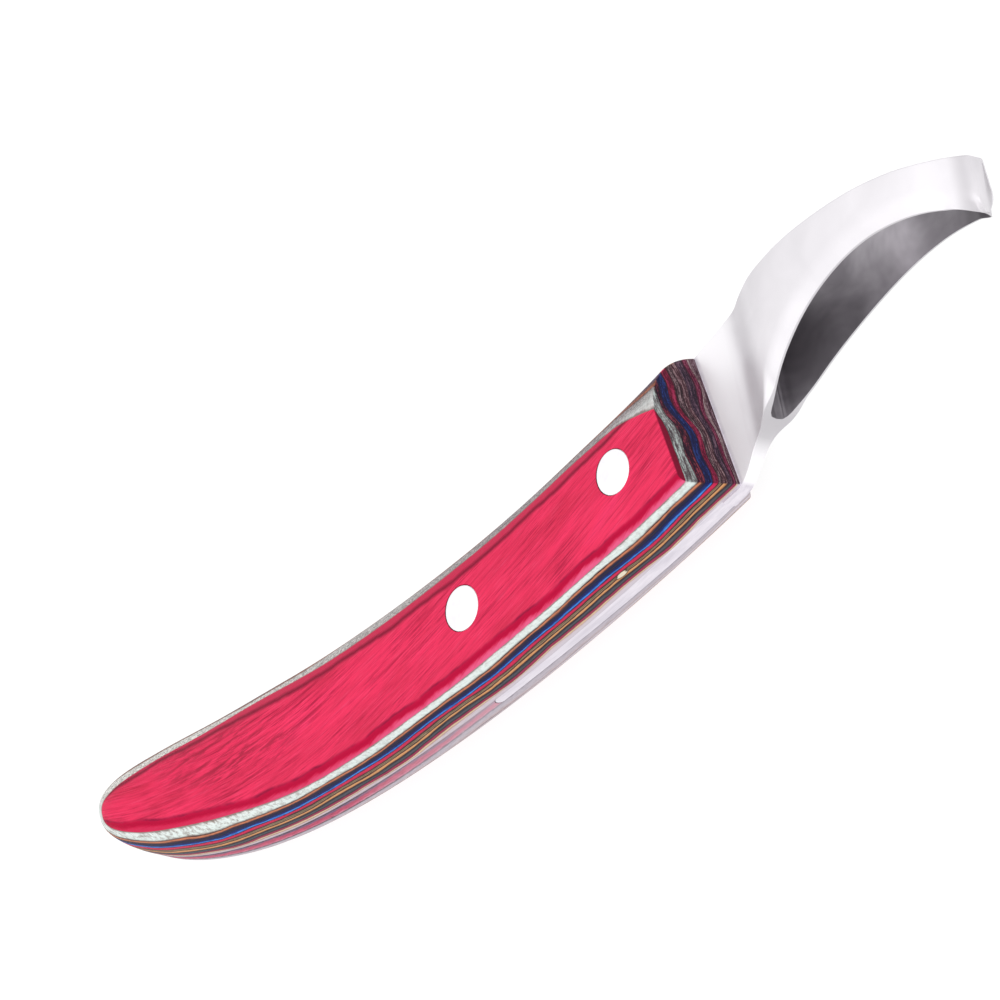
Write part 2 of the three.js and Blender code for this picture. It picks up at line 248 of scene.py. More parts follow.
def far_lower_inset(out):
    """The far lower edge falls away to the palm in one flat arc."""
    first, last = (math.radians(angle) for angle in FAR_LOWER_TILT)
    radius = (FAR_DEPTH - FAR_LOWER_START) / (math.sin(last) - math.sin(first))
    tilt = np.arcsin(math.sin(first) + np.maximum(out - FAR_LOWER_START, 0) / radius)
    return radius * (math.cos(first) - np.cos(tilt))


def insets(x, z):
    """How far the outline has moved in at height z: upper edge, lower edge, rear end."""
    near = z > MID_Z
    out = np.maximum(np.abs(z - MID_Z) - TANG_THICKNESS / 2, 0)
    depth = np.where(near, NEAR_DEPTH, FAR_DEPTH)
    upper_near = UPPER_INSET_NEAR + UPPER_EXTRA_FRONT * smoothstep(x, *UPPER_EXTRA_FRONT_AT)
    upper_near = upper_near + UPPER_EXTRA_REAR * smoothstep(-x, *UPPER_EXTRA_REAR_AT)
    upper = quarter_ellipse(np.where(near, upper_near, UPPER_INSET_FAR), out, depth)
    flat = smoothstep(-x, *UPPER_FLAT_AT) * (1 - smoothstep(-x, *UPPER_FLAT_ENDS))
    upper = upper + UPPER_FLAT * flat
    crisp = quarter_ellipse(LOWER_INSET, np.maximum(out - (NEAR_DEPTH - LOWER_DEPTH), 0), LOWER_DEPTH)
    round_near = crisp + quarter_ellipse(LOWER_REAR, out, depth) * smoothstep(-x, *LOWER_REAR_AT)
    rear_share = 1 - (1 - FAR_LOWER_REAR) * smoothstep(-x, *FAR_LOWER_REAR_AT)
    round_far = far_lower_inset(np.minimum(out, FAR_DEPTH)) * rear_share
    lower = np.where(near, round_near, round_far)
    rear = quarter_ellipse(np.where(near, REAR_INSET_NEAR, REAR_INSET_FAR), out, depth)
    return upper, lower, rear


def front_x(y, z, y_low, y_high):
    """The front face: leaning, sloping back from the middle plane, with a small round all about."""
    slope = np.where(z > MID_Z, FRONT_SLOPE_NEAR, FRONT_SLOPE_FAR)
    x = FRONT_X - FRONT_LEAN * y - slope * np.abs(z - MID_Z)
    gap = np.minimum(np.minimum(y - y_low, y_high - y), TOP_Z - z)
    return x - quarter_ellipse(FRONT_ROUND, np.clip(FRONT_ROUND - gap, 0, None), FRONT_ROUND)


END_SHARE = 0.34  # of the stations, for the round rear end


def handle_point(s, w, z):
    """The point of the handle at station s (0 rear end, 1 front face), w across, height z."""
    angle = np.pi / 2 * (1 - np.minimum(s / END_SHARE, 1))
    along = np.sin(angle) ** (2 / ROUNDNESS_LOWER)
    rear = insets(np.full_like(z, TAPER_X), z)[2]
    x = TAPER_X + (REAR_X + rear - TAPER_X) * along
    t = np.clip((s - END_SHARE) / (1 - END_SHARE), 0, 1)
    front = FRONT_X
    for _ in range(4):
        here = np.where(t > 0, TAPER_X + t * (front - TAPER_X), x)
        upper, lower, _rear = insets(here, z)
        centre = spine_y(here) + (lower - upper) / 2
        half = half_height(here) - (lower + upper) / 2
        low = centre - half * (1 - along**ROUNDNESS_LOWER) ** (1 / ROUNDNESS_LOWER)
        high = centre + half * (1 - along**ROUNDNESS_UPPER) ** (1 / ROUNDNESS_UPPER)
        y = low + (high - low) * w
        front = front_x(y, z, low, high)
    return here, y


# ---- Ply boundaries -------------------------------------------------------------------------


class Ripple:
    """A gentle random waviness over the plan, in millimetres."""

    def __init__(self, seed, amplitude, lengths):
        rng = np.random.default_rng(seed)
        self.waves = [
            (amplitude * a, 2 * np.pi / lx, 2 * np.pi / ly, *rng.uniform(0, 2 * np.pi, 2))
            for a, lx, ly in lengths
        ]

    def at(self, x, y):
        return sum(a * np.sin(kx * x + px) * np.cos(ky * y + py) for a, kx, ky, px, py in self.waves)


FINE = [(0.5, 31.0, 17.0), (0.35, 13.0, 9.0), (0.22, 6.1, 5.3), (0.14, 3.3, 3.1)]
SHARED = Ripple(7, 0.3, [(1, 47.0, 14.0), (0.8, 23.0, 8.0)])


# How far a glue line at this depth under the near face rises at the front end's upper corner.
FRONT_RISE = [
    (0, 0), (1, 0.975), (2.75, 1.5), (3.85, 2.0), (4.9, 2.1), (5.65, 1.6), (6.35, 1.3),
    (7.05, 1.0), (7.95, 0.6), (8.9, 0.2), (9.8, 0),
]


def boundary_z(level, seed, x, y):
    """Height of the glue line at nominal height level: a slow wave of the whole stack and its own."""
    depth = TOP_Z - level

    def below(first, last):
        """0 for glue lines less deep under the near face than first, 1 for those deeper than last."""
        return float(smoothstep(depth, first, last))

    above_tang = float(smoothstep(abs(level - MID_Z) - TANG_THICKNESS / 2, 0, 0.8))
    slow = bend = 0
    if level > MID_Z:
        hump = 0.45 * np.exp(-(((x - 24) / 10) ** 2)) * (1 - below(2.8, 4.6))
        dip = 0.45 * smoothstep(x, 22, 37) * below(3.2, 5.0)
        sag = 0.35 * np.exp(-(((x + 28) / 14) ** 2)) * below(4.5, 8)
        slow = hump - dip - sag
        # Along the upper edge the plies rise at the front, and the face ply is thick at the rear.
        up = y - spine_y(x)
        rise = np.interp(depth, *zip(*FRONT_RISE)) * smoothstep(x, 33, 44.5)
        fall = smoothstep(-x, 22, 48) * (1 - smoothstep(-x, 72, 81)) * (1 - below(1.0, 3.6))
        bend = rise * smoothstep(up, -3, 5) - fall * smoothstep(up, 1, 8)
    wave = SHARED.at(x, y) + Ripple(seed, 0.2, FINE).at(x, y)
    return level + below(0.5, 3.2) * above_tang * (slow + wave) + bend


def tang_far_z(x):
    """The tang thins towards its rear end, and the plies behind it follow."""
    thinning = 1.0 * smoothstep(-x, -40, 5) - 0.55 * smoothstep(-x, 8, 30)
    return TANG_Z0 + thinning


def tang_far_side(x, _y):
    """The tang's far side as a boundary between plies."""
    return tang_far_z(x)


def across_spacing():
    """Places across the handle from 0 to 1, close together near both edges."""
    edge = np.array([0, 0.003, 0.008, 0.015, 0.03, 0.06])
    return np.unique(np.concatenate([edge, np.linspace(0.1, 0.9, 17), 1 - edge]))


def station_spacing():
    """Stations along the handle from 0 to 1, closer together round the rear end."""
    return np.concatenate([np.linspace(0, END_SHARE, 40)[:-1], np.linspace(END_SHARE, 1, 110)])


def slab(low_at, high_at, levels):
    """A closed ply between two boundaries, each a function (x, y) -> z, with wall rows at levels."""
    stations, across = station_spacing(), across_spacing()
    s, w = np.meshgrid(stations, across, indexing="ij")
    layers = []
    for level in levels:
        z = np.full_like(s, low_at(np.zeros(1), np.zeros(1))[0])
        for _ in range(3):
            x, y = handle_point(s, w, z)
            low, high = low_at(x, y), high_at(x, y)
            z = low + (high - low) * level
        x, y = handle_point(s, w, z)
        layers.append(np.stack([x, y, z], axis=-1))
    grid = np.array(layers)
    n_levels, n_s, n_w = grid.shape[:3]
    index = np.arange(n_levels * n_s * n_w).reshape(n_levels, n_s, n_w)
    faces = []

    def quads(a, b, c, d):
        faces.extend(np.stack([a.ravel(), b.ravel(), c.ravel(), d.ravel()], axis=1).tolist())

    for k in (0, n_levels - 1):
        i = index[k]
        quads(i[:-1, :-1], i[1:, :-1], i[1:, 1:], i[:-1, 1:])
    for j in (0, n_w - 1):
        i = index[:, :, j]
        quads(i[:-1, :-1], i[:-1, 1:], i[1:, 1:], i[1:, :-1])
    for j in (0, n_s - 1):
        i = index[:, j, :]
        quads(i[:-1, :-1], i[:-1, 1:], i[1:, 1:], i[1:, :-1])
    v = np.broadcast_to(np.array(levels)[:, None, None], grid.shape[:3])
    uvs = np.stack([grid[..., 0] * 0.01 + 1.0, v], axis=-1)
    return grid.reshape(-1, 3), faces, uvs.reshape(-1, 2)


# ---- Materials ------------------------------------------------------------------------------


LIGHT_LEVEL = 1.28  # how much brighter than its own colour the studio light shows a white surface


def linear(rgb, level=LIGHT_LEVEL):
    """Base colour that the studio light shows as the display colour rgb, 0 to 255."""
    c = np.array(rgb) / 255
    out = np.where(c <= 0.04045, c / 12.92, ((c + 0.055) / 1.055) ** 2.4) / level
    return (*out.tolist(), 1.0)


GRAIN_SLANT = 0.18  # of the face ply's grain, against the run of its edges


class Tree:
    """A material's node tree with short ways to add and join nodes."""

    def __init__(self, name):
        self.material = bpy.data.materials.new(name)
        self.material.use_nodes = True
        self.tree = self.material.node_tree
        self.shader = self.tree.nodes["Principled BSDF"]

    def put(self, socket, value):
        if isinstance(value, bpy.types.NodeSocket):
            self.tree.links.new(value, socket)
        else:
            socket.default_value = value

    def add(self, kind, inputs=None, output=0, **properties):
        node = self.tree.nodes.new(kind)
        for key, value in properties.items():
            setattr(node, key, value)
        for key, value in (inputs or {}).items():
            self.put(node.inputs[key], value)
        return node.outputs[output]

    def math(self, operation, a, b=0.0, clamp=False):
        return self.add("ShaderNodeMath", {0: a, 1: b}, operation=operation, use_clamp=clamp)

    def mix(self, factor, a, b, blend="MIX"):
        node = self.tree.nodes.new("ShaderNodeMix")
        node.data_type = "RGBA"
        node.blend_type = blend
        node.clamp_factor = True
        for socket, value in zip((node.inputs[0], node.inputs[6], node.inputs[7]), (factor, a, b)):
            self.put(socket, value)
        return node.outputs[2]

    def ramp(self, value, stops, interpolation="LINEAR"):
        node = self.tree.nodes.new("ShaderNodeValToRGB")
        node.color_ramp.interpolation = interpolation
        elements = node.color_ramp.elements
        while len(elements) < len(stops):
            elements.new(0.5)
        for element, (position, colour) in zip(elements, stops):
            element.position = position
            element.color = colour
        self.put(node.inputs[0], value)
        return node.outputs[0]

    def grey_ramp(self, value, low, high, dark=0.0, light=1.0):
        return self.add("ShaderNodeMapRange", {0: value, 1: low, 2: high, 3: dark, 4: light})

    def noise(self, vector, scale=1.0, detail=3.0, roughness=0.55, distortion=0.0):
        return self.add("ShaderNodeTexNoise", {
            "Vector": vector, "Scale": scale, "Detail": detail, "Roughness": roughness,
            "Distortion": distortion,
        })

    def stretched(self, vector, scale, offset=(0, 0, 0)):
        return self.add("ShaderNodeMapping", {"Vector": vector, "Scale": scale, "Location": offset})

    def coordinates(self, name="Object"):
        node = self.tree.nodes.new("ShaderNodeTexCoord")
        return node.outputs[name]

    def split(self, vector):
        """The x, y and z of a vector."""
        node = self.tree.nodes.new("ShaderNodeSeparateXYZ")
        self.put(node.inputs[0], vector)
        return node.outputs

    def drawing(self, axis):
        """The shaded point's drawing coordinate along x (0) or y (1), in millimetres."""
        place = self.split(self.coordinates())[axis]
        return self.math("MULTIPLY", self.math("SUBTRACT", place, float(ORIGIN[axis])), 1000.0)

    def set(self, **values):
        for key, value in values.items():
            self.put(self.shader.inputs[key.replace("_", " ")], value)


def with_knot(t, colour, wander, knot):
    """A pale knot with a dark rim, laid over a colour."""
    inside = t.add("ShaderNodeVectorMath", {
        0: t.add("ShaderNodeVectorMath", {0: t.coordinates(), 1: knot["at"]}, operation="SUBTRACT"),
        1: tuple(1 / r for r in knot["radii"]),
    }, operation="MULTIPLY")
    reach = t.add("ShaderNodeVectorMath", {0: inside}, output=1, operation="LENGTH")
    reach = t.math("ADD", reach, t.math("MULTIPLY", t.math("SUBTRACT", wander, 0.5), 1.6))
    colour = t.mix(t.grey_ramp(reach, 1.45, 1.1), colour, linear((74, 60, 44)))
    return t.mix(t.grey_ramp(reach, 1.05, 0.8), colour, linear((244, 232, 206)))


def upper_edge_speckle_and_shade(t, colour, u, pores, back):
    """The same ply on the upper edge, which is sanded across its fibres and so is speckled; with back tones
    it is also greyed as painted shade.
    """
    # Painted shade: the upper edge greyed towards the back tones.
    if back:
        front, rear = (linear(rgb) for rgb in back)
        colour = t.mix(0.75, colour, t.mix(t.grey_ramp(u, 40.0, 110.0), rear, front))
    return t.mix(1.0, colour, t.grey_ramp(pores, 0.42, 0.58, 0.42, 1.2), "MULTIPLY")


def end_grain_and_shade(t, v, edge, pores, seed, tones):
    """The ply on the front face: dark end grain, darkened further as painted shade, with light lines along
    the ply.
    """
    down = t.math("MULTIPLY", t.split(t.coordinates())[1], 1000.0)
    endwise = t.add("ShaderNodeCombineXYZ", {0: down, 1: v, 2: float(seed)})
    lines = t.noise(t.stretched(endwise, (0.3, 4.0, 1.0)), detail=5.0, roughness=0.7)
    lines = t.math("ADD", lines, t.math("MULTIPLY", t.math("SUBTRACT", pores, 0.5), 0.5))
    colour = t.ramp(lines, [(at, linear(rgb)) for at, rgb in zip((0.42, 0.52, 0.62), tones)])
    return t.mix(t.grey_ramp(edge, 0.02, 0.16, 0.7, 0.0), colour, linear((40, 22, 30)))


def ply_material(name, stops, end, seed, glue=(62, 36, 40), shade=(1.12, 0.62), pale=None, back=None,
                 mottle=0.0, knot=None):
    """A dyed veneer seen on its edge: colours across its thickness, wandering with the fibres.

    end: dark, middle and light tone of its end grain, darkened further as painted shade; pale: a colour it
    fades to and how much at the front and at the rear; back: its painted shade tone on the upper edge at
    the front and at the rear.
    """
    t = Tree(name)
    uv = t.split(t.coordinates("UV"))
    u, v = t.math("MULTIPLY", uv[0], 100.0), uv[1]
    where = t.add("ShaderNodeCombineXYZ", {0: u, 1: v, 2: float(seed)})
    wander = t.noise(t.stretched(where, (0.16, 0.9, 1.0)), detail=5.0, roughness=0.65)
    fibres = t.noise(t.stretched(where, (0.7, 7.0, 1.0)), detail=5.0, roughness=0.7)
    at = t.math("ADD", v, t.math("MULTIPLY", t.math("SUBTRACT", wander, 0.5), 0.75))
    at = t.math("ADD", at, t.math("MULTIPLY", t.math("SUBTRACT", fibres, 0.5), 0.4))
    colour = t.ramp(at, [(position, linear(rgb)) for position, rgb in stops])
    colour = t.mix(1.0, colour, t.grey_ramp(fibres, 0.32, 0.68, *shade), "MULTIPLY")
    # The glue lines at both sides of the ply come and go.
    patchy = t.noise(t.stretched(where, (0.7, 0.5, 1.0), (0, 0, 3.1)), detail=4.0, roughness=0.6)
    edge = t.math("MINIMUM", v, t.math("SUBTRACT", 1.0, v))
    edge = t.math("SUBTRACT", edge, t.math("MULTIPLY", t.math("SUBTRACT", patchy, 0.5), 0.35))
    colour = t.mix(t.grey_ramp(edge, 0.05, 0.15, 0.8, 0.0), colour, linear(glue))
    if pale:
        rgb, front, rear = pale
        colour = t.mix(t.grey_ramp(u, 60.0, 105.0, rear, front), colour, linear(rgb))
    if mottle:
        spots = t.noise(t.stretched(where, (1.6, 2.5, 1.0), (0, 0, 5.3)), detail=5.0, roughness=0.75)
        rearwards = t.grey_ramp(u, 45.0, 85.0, 1.0, 0.35)
        spots = t.math("MULTIPLY", t.grey_ramp(spots, 0.46, 0.66, 0.0, mottle), rearwards)
        colour = t.mix(spots, colour, linear((140, 122, 112)))
    if knot:
        colour = with_knot(t, colour, wander, knot)
    normal = t.split(t.coordinates("Normal"))
    pores = t.noise(t.stretched(t.coordinates(), (2400.0, 2400.0, 5200.0)), detail=4.0, roughness=0.7)
    # Faces turned towards +y get speckle, and painted shade where the ply has back tones.
    colour = t.mix(t.grey_ramp(normal[1], 0.1, 0.5), colour, upper_edge_speckle_and_shade(t, colour, u, pores, back))
    # Front face: end grain, darkened further as painted shade.
    colour = t.mix(t.grey_ramp(normal[0], 0.55, 0.9), colour, end_grain_and_shade(t, v, edge, pores, seed, end))
    bump = t.add("ShaderNodeBump", {"Strength": 0.3, "Distance": 0.00012, "Height": fibres})
    t.set(Base_Color=colour, Roughness=0.55, Specular_IOR_Level=0.12, Normal=bump)
    return t.material


def dyed_grain(t, flow, fine):
    """Cloudy crimson dye, darker along the streaks and pores and lighter between them."""
    cloud = t.noise(t.stretched(flow, (0.05, 0.22, 1.0)), detail=4.0, distortion=0.5)
    streak = t.noise(t.stretched(flow, (0.07, 1.6, 1.0)), detail=5.0, roughness=0.65, distortion=0.15)
    colour = t.ramp(cloud, [
        (0.32, linear((224, 48, 84))), (0.46, linear((242, 54, 96))), (0.58, linear((252, 56, 101))),
        (0.72, linear((254, 60, 108))),
    ])
    figure = t.noise(t.stretched(flow, (0.07, 0.2, 1.0), (0, 0, 12)), detail=3.0, distortion=0.4)
    figure = t.grey_ramp(figure, 0.4, 0.6, 0.42, 1.0)
    streaks = t.math("MULTIPLY", t.grey_ramp(streak, 0.5, 0.7, 0.0, 0.85), figure)
    colour = t.mix(streaks, colour, linear((176, 28, 64)))
    pores = t.math("MULTIPLY", t.grey_ramp(fine, 0.5, 0.66, 0.0, 0.85), figure)
    colour = t.mix(pores, colour, linear((156, 24, 58)))
    return t.mix(t.grey_ramp(fine, 0.46, 0.34, 0.0, 0.55), colour, linear((250, 84, 126)))


def with_rays(t, colour, x, across, low):
    """A patch of dark rays towards the rear, steeper than the grain."""
    spot_x = t.math("MULTIPLY", t.math("ADD", x, 50.0), 1 / 15)
    spot_y = t.math("MULTIPLY", t.math("SUBTRACT", low, 9.0), 1 / 5)
    spot = t.math("ADD", t.math("MULTIPLY", spot_x, spot_x), t.math("MULTIPLY", spot_y, spot_y))
    steeper = t.math("SUBTRACT", across, t.math("MULTIPLY", x, 0.12))
    steeper = t.add("ShaderNodeCombineXYZ", {0: x, 1: steeper})
    rays = t.noise(t.stretched(steeper, (0.16, 1.25, 1.0), (0, 0, 6)), detail=5.0, roughness=0.72,
                   distortion=0.5)
    rays = t.math("MULTIPLY", t.grey_ramp(rays, 0.47, 0.58), t.grey_ramp(spot, 1.2, 0.2, 0.12, 1.0))
    return t.mix(t.math("MULTIPLY", rays, 0.7), colour, linear((150, 34, 58)))


def with_lower_bands(t, colour, flow, x, low):
    """Towards the lower edge: a thin dark line, a saturated band, then a paler one."""
    colour = t.mix(t.grey_ramp(low, 1.6, 1.25, 0.0, 0.9), colour, linear((212, 8, 68)))
    line = t.math("ABSOLUTE", t.math("SUBTRACT", low, 1.42))
    lines = t.grey_ramp(t.noise(t.stretched(flow, (0.14, 0.05, 1.0)), detail=4.0), 0.4, 0.6, 0.15, 0.8)
    line = t.math("MULTIPLY", t.grey_ramp(line, 0.34, 0.05), lines)
    colour = t.mix(line, colour, linear((132, 10, 56)))
    band = t.math("ABSOLUTE", t.math("SUBTRACT", low, 0.92))
    colour = t.mix(t.grey_ramp(band, 0.5, 0.1, 0.0, 0.85), colour, linear((184, 0, 56)))
    paler = t.math("MULTIPLY", t.grey_ramp(low, 0.66, 0.26), t.grey_ramp(x, -62.0, -10.0, 0.15, 1.0))
    return t.mix(paler, colour, linear((238, 96, 140)))


def with_upper_bands(t, colour, x, high):
    """Towards the upper edge: a dark line and a duller band, which end nearer the edge at the rear."""
    high = t.math("ADD", high, t.grey_ramp(x, -15.0, -50.0, 0.0, 1.25))
    colour = t.mix(t.grey_ramp(high, 6.9, 6.3), colour, linear((214, 46, 86)))
    line = t.math("ABSOLUTE", t.math("SUBTRACT", high, 6.5))
    return t.mix(t.grey_ramp(line, 0.65, 0.1, 0.0, 0.9), colour, linear((136, 20, 52)))


def crimson_face_material():
    """The crimson face ply: slanting grain, and bands of figure along both edges."""
    t = Tree("crimson_face_wood")
    gaps = t.split(t.coordinates("UV"))
    low = t.math("MULTIPLY", gaps[0], 100.0)
    high = t.math("MULTIPLY", gaps[1], 100.0)
    x = t.drawing(0)
    across = t.math("SUBTRACT", low, t.math("MULTIPLY", x, GRAIN_SLANT))
    flow = t.add("ShaderNodeCombineXYZ", {0: x, 1: across, 2: 0.0})
    fine = t.noise(t.stretched(flow, (0.17, 4.6, 1.0), (0, 0, 4)), detail=5.0, roughness=0.75)
    colour = with_rays(t, dyed_grain(t, flow, fine), x, across, low)
    # The bands' edges wobble with the grain.
    wobble = t.noise(t.stretched(flow, (0.1, 0.02, 1.0)), detail=4.0, roughness=0.6)
    wobble = t.math("MULTIPLY", t.math("SUBTRACT", wobble, 0.5), 1.6)
    wobble = t.math("ADD", wobble, t.math("MULTIPLY", t.math("SUBTRACT", fine, 0.5), 0.7))
    colour = with_lower_bands(t, colour, flow, x, t.math("ADD", low, wobble))
    colour = with_upper_bands(t, colour, x, t.math("ADD", high, wobble))
    # The ply's own end, on the front face, is dark: end grain, and painted shade of the front face.
    normal = t.split(t.coordinates("Normal"))
    colour = t.mix(t.grey_ramp(normal[0], 0.5, 0.85), colour, linear((128, 16, 48)))
    bump = t.add("ShaderNodeBump", {"Strength": 0.35, "Distance": 0.00015, "Height": fine})
    t.set(Base_Color=colour, Roughness=0.55, Specular_IOR_Level=0.08, Normal=bump)
    return t.material


def neck_and_tang(t, colour, tang):
    """Painted light on the neck, painted shade before the loop and at the tip, and the tang in the handle.
    """
    x = t.drawing(0)
    # Painted light: the neck brightened towards the handle.
    colour = t.mix(t.grey_ramp(x, 53.0, 50.5, 0.0, 0.9), colour, linear((250, 248, 251), 1.0))
    # Painted shade in the valley before the loop and in the crease before the tip.
    for centre, reach, strength in ((55.4, 4.2, 0.36), (101.7, 1.8, 0.42)):
        hollow = t.math("ABSOLUTE", t.math("SUBTRACT", x, centre))
        hollow = t.add("ShaderNodeMapRange", {0: hollow, 1: reach, 2: 0.0, 3: 0.0, 4: strength},
                       interpolation_type="SMOOTHSTEP")
        colour = t.mix(hollow, colour, linear((170, 166, 171), 1.0))
    streaks = t.noise(t.stretched(t.coordinates(), (60.0, 900.0, 900.0)), detail=4.0, roughness=0.7)
    shade = t.ramp(streaks, [(0.35, linear(tang[0], 1.0)), (0.65, linear(tang[1], 1.0))])
    lean = t.math("ADD", x, t.math("MULTIPLY", t.drawing(1), FRONT_LEAN))
    return t.mix(t.grey_ramp(lean, 47.9, 47.2), colour, shade)


def with_sheen(t, colour):
    """Brightest in the middle of the loop, darkest at its tip."""
    sheen = [(0.0, 1.15), (0.3, 1.3), (0.55, 2.0), (0.75, 1.35), (0.95, 0.75)]
    sheen = t.ramp(t.grey_ramp(t.drawing(0), 56.0, 102.0),
                   [(position, (level, level, level, 1.0)) for position, level in sheen], "EASE")
    return t.mix(1.0, colour, sheen, "MULTIPLY")


def steel_material(name, dark, light, roughness, metallic, tang=None, inside=False):
    """Ground steel, faintly cloudy, with painted shade where it faces down the palm side."""
    t = Tree(name)
    cloud = t.noise(t.coordinates(), scale=90.0, detail=3.0, distortion=0.5)
    colour = t.ramp(cloud, [(0.3, linear(dark, 1.0)), (0.7, linear(light, 1.0))])
    normal = t.split(t.coordinates("Normal"))
    # Painted shade on faces turned towards -y.
    colour = t.mix(1.0, colour, t.grey_ramp(normal[1], -1.0, 0.0, 0.72, 1.0), "MULTIPLY")
    if tang:
        colour = neck_and_tang(t, colour, tang)
    if inside:
        colour = with_sheen(t, colour)
    rough = t.grey_ramp(cloud, 0.3, 0.7, roughness - 0.03, roughness + 0.04)
    t.set(Base_Color=colour, Metallic=metallic, Roughness=rough)
    return t.material


def rivet_material():
    t = Tree("rivet_metal")
    turned = t.noise(t.coordinates(), scale=900.0, detail=2.0)
    colour = t.ramp(turned, [(0.3, linear((240, 238, 242), 1.0)), (0.7, linear((248, 247, 250), 1.0))])
    t.set(Base_Color=colour, Metallic=0.4, Roughness=t.grey_ramp(turned, 0.3, 0.7, 0.3, 0.36))
    return t.material


def floor_material():
    t = Tree("pale_floor")
    tone = t.noise(t.coordinates(), scale=3.0, detail=2.0)
    colour = t.ramp(tone, [(0.3, linear((96, 96, 96), 1.0)), (0.7, linear((100, 100, 100), 1.0))])
    t.set(Base_Color=colour, Roughness=0.8, Specular_IOR_Level=0.1)
    t.set(Emission_Color=(1.0, 1.0, 1.0, 1.0), Emission_Strength=0.93)
    return t.material


# Colours across each ply, from its side nearest the tang outwards.
PLY_STOPS = {
    "mauve": [(0.0, (206, 196, 208)), (0.5, (224, 210, 218)), (0.8, (226, 192, 186)),
              (1.0, (150, 104, 100))],
    "cream": [(0.0, (214, 170, 140)), (0.5, (246, 220, 186)), (1.0, (214, 160, 130))],
    "magenta": [(0.0, (150, 60, 90)), (0.45, (190, 52, 92)), (1.0, (96, 48, 70))],
    "navy": [(0.0, (60, 54, 70)), (0.4, (92, 94, 104)), (0.7, (60, 62, 74)), (1.0, (36, 34, 44))],
    "orange": [(0.0, (110, 66, 50)), (0.3, (232, 160, 104)), (0.6, (244, 180, 122)), (0.8, (120, 76, 54)),
               (1.0, (60, 42, 40))],
    "olive": [(0.0, (70, 50, 44)), (0.25, (186, 156, 122)), (0.42, (74, 62, 52)), (0.62, (172, 150, 116)),
              (0.8, (64, 52, 46)), (1.0, (90, 40, 50))],
    "crimson": [(0.0, (110, 26, 54)), (0.3, (224, 36, 84)), (0.75, (230, 34, 88)), (1.0, (112, 20, 60))],
    "blue": [(0.0, (40, 52, 130)), (0.14, (84, 162, 250)), (0.3, (50, 120, 226)), (0.42, (16, 36, 118)),
             (1.0, (8, 16, 66))],
    "orange_brown": [(0.0, (16, 24, 72)), (0.3, (28, 30, 66)), (0.46, (112, 64, 52)), (0.6, (222, 136, 98)),
                     (0.8, (214, 132, 96)), (0.92, (100, 58, 48)), (1.0, (66, 40, 40))],
    "white": [(0.0, (206, 216, 210)), (0.25, (240, 252, 248)), (0.75, (244, 253, 250)),
              (1.0, (228, 224, 222))],
    "core": [(0.0, (206, 176, 186)), (0.18, (226, 120, 150)), (0.45, (214, 88, 118)),
             (0.68, (196, 88, 118)), (0.8, (126, 106, 138)), (1.0, (120, 96, 120))],
}

# End grain on the front face, with painted shade in it: dark, middle and light tone.
END_TONES = {
    "mauve": ((58, 36, 46), (96, 66, 78), (150, 124, 134)),
    "cream": ((84, 56, 62), (150, 124, 128), (186, 166, 170)),
    "magenta": ((70, 22, 44), (112, 34, 64), (150, 80, 104)),
    "navy": ((38, 28, 42), (66, 44, 62), (120, 92, 108)),
    "orange": ((60, 34, 42), (96, 62, 72), (168, 138, 142)),
    "olive": ((46, 30, 36), (82, 58, 66), (160, 134, 138)),
    "crimson": ((78, 14, 40), (132, 24, 60), (168, 52, 88)),
    "blue": ((22, 22, 58), (26, 30, 80), (40, 66, 136)),
    "orange_brown": ((34, 16, 34), (60, 24, 44), (150, 60, 76)),
    "white": ((84, 74, 78), (146, 146, 146), (196, 212, 208)),
    "core": ((90, 40, 60), (160, 80, 110), (200, 120, 150)),
}

KNOT_X = 25.2
KNOT_Y = (KNOT_X - BELLY_X) ** 2 / (2 * SPINE_RADIUS_FRONT) - HALF_HEIGHT - 0.3
KNOT = {
    "at": tuple((np.array([KNOT_X, KNOT_Y, TOP_Z - 6.35]) * MM + ORIGIN).tolist()),
    "radii": (0.0010, 0.0016, 0.00048),
}

# back: painted shade tones that grey the upper edge, at the front and at the rear.
PLY_OPTIONS = {
    "white": {"mottle": 0.9, "shade": (1.05, 0.9), "glue": (120, 96, 92),
              "back": ((146, 122, 128), (250, 244, 238))},
    "blue": {"glue": (20, 22, 60), "back": ((112, 78, 96), (130, 104, 120))},
    "orange_brown": {"glue": (60, 30, 36), "back": ((156, 94, 78), (160, 110, 92))},
    "olive": {"knot": KNOT},
    "orange": {"knot": KNOT},
    "mauve": {"glue": (150, 130, 140), "pale": ((226, 216, 226), 0.7, 0.0)},
    "cream": {"glue": (190, 150, 130)},
    "core": {"pale": ((228, 200, 212), 0.75, 0.0)},
}
PLY_MATERIALS = {}
for seed, (ply_name, ply_stops) in enumerate(PLY_STOPS.items(), 1):
    PLY_MATERIALS[ply_name] = ply_material(
        f"{ply_name}_veneer", ply_stops, END_TONES[ply_name], seed, **PLY_OPTIONS.get(ply_name, {})
    )
# The far half's first plies, lit from below, are paler.
for seed, (ply_name, rgb, front, rear) in enumerate([
    ("mauve", (190, 184, 194), 0.5, 0.3), ("cream", (224, 218, 226), 0.85, 0.3),
    ("magenta", (226, 214, 224), 0.85, 0.25), ("navy", (222, 214, 224), 0.8, 0.15),
], 40):
    PLY_MATERIALS["far_" + ply_name] = ply_material(
        f"far_{ply_name}_veneer", PLY_STOPS[ply_name], END_TONES[ply_name], seed,
        glue=(176, 150, 168) if ply_name != "mauve" else (104, 96, 106), pale=(rgb, front, rear),
    )
PLY_MATERIALS["crimson_face"] = crimson_face_material()
STEEL = steel_material(
    "blade_steel", (222, 219, 223), (234, 231, 235), 0.42, 0.45, tang=((206, 200, 210), (228, 222, 230))
)
